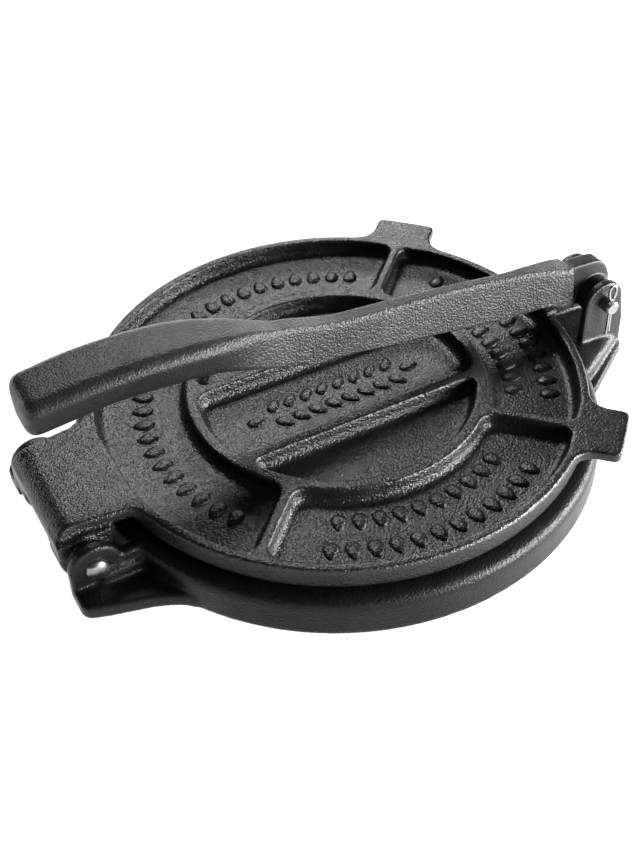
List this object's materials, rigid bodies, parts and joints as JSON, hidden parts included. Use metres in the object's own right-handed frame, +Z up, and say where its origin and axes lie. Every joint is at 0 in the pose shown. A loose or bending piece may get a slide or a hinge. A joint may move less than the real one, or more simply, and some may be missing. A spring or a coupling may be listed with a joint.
{
  "type": "tortilla press",
  "caption": "Cast iron hand press: a folding lever squeezes a hinged ribbed round plate onto a round base to flatten dough.",
  "frame": {"origin": "centre of the round base, on its underside, where the press stands", "axes": "+Z up; +X from the middle towards the lever's hinge, so the plate's hinge is at -X; both hinge pins run along Y"},
  "size_m": [0.2651, 0.2146, 0.081],
  "materials": {
    "base_iron": "seasoned, sand cast",
    "plate_iron": "seasoned, sand cast",
    "lever_iron": "seasoned, sand cast",
    "pin_steel": "zinc plated",
    "split_pin_steel": "zinc plated"
  },
  "bodies": {
    "base": {"base_casting": "base_iron", "plate_hinge_pin": "pin_steel", "lever_hinge_pin": "pin_steel", "plate_split_pin": "split_pin_steel", "lever_split_pin": "split_pin_steel"},
    "plate": {"top_plate": "plate_iron"},
    "lever": {"lever_handle": "lever_iron"}
  },
  "joints": [
    {"name": "lever_swing", "type": "hinge", "parent": "base", "child": "lever", "pos_m": [0.1238, 0, 0.03], "axis": [0, 1, 0], "range_deg": [0, 170]},
    {"name": "plate_swing", "type": "hinge", "parent": "base", "child": "plate", "pos_m": [-0.1185, 0, 0.014], "axis": [0, -1, 0], "range_deg": [0, 17]}
  ],
  "couplings": [
    {"joint": "plate_swing", "follows": "lever_swing", "ratio": 0.1}
  ]
}
